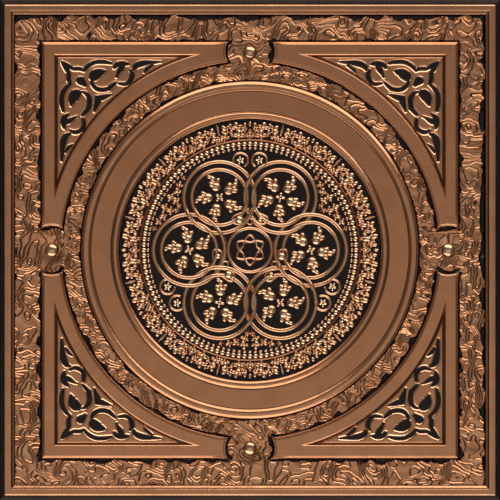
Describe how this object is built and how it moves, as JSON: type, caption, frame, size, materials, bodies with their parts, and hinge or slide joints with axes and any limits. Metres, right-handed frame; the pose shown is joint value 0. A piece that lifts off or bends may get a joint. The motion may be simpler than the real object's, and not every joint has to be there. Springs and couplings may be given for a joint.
{
  "type": "pressed tin ceiling tile",
  "caption": "Square pressed tin ceiling tile in antique copper: raised edge rail, corner panels with fretwork spandrels, and a round medallion of looped strands inside a ring moulding.",
  "frame": {"origin": "centre of the flat back, under the middle of the medallion", "axes": "+Z out of the decorated face, +Y to the top edge of the tile as in the picture, +X to its right edge"},
  "size_m": [0.6096, 0.6096, 0.0095],
  "materials": {
    "antique_copper": "antique copper, satin on the raised faces, with near-black patina in the recesses"
  },
  "bodies": {
    "root": {"pressed_sheet": "antique_copper"}
  },
  "joints": []
}
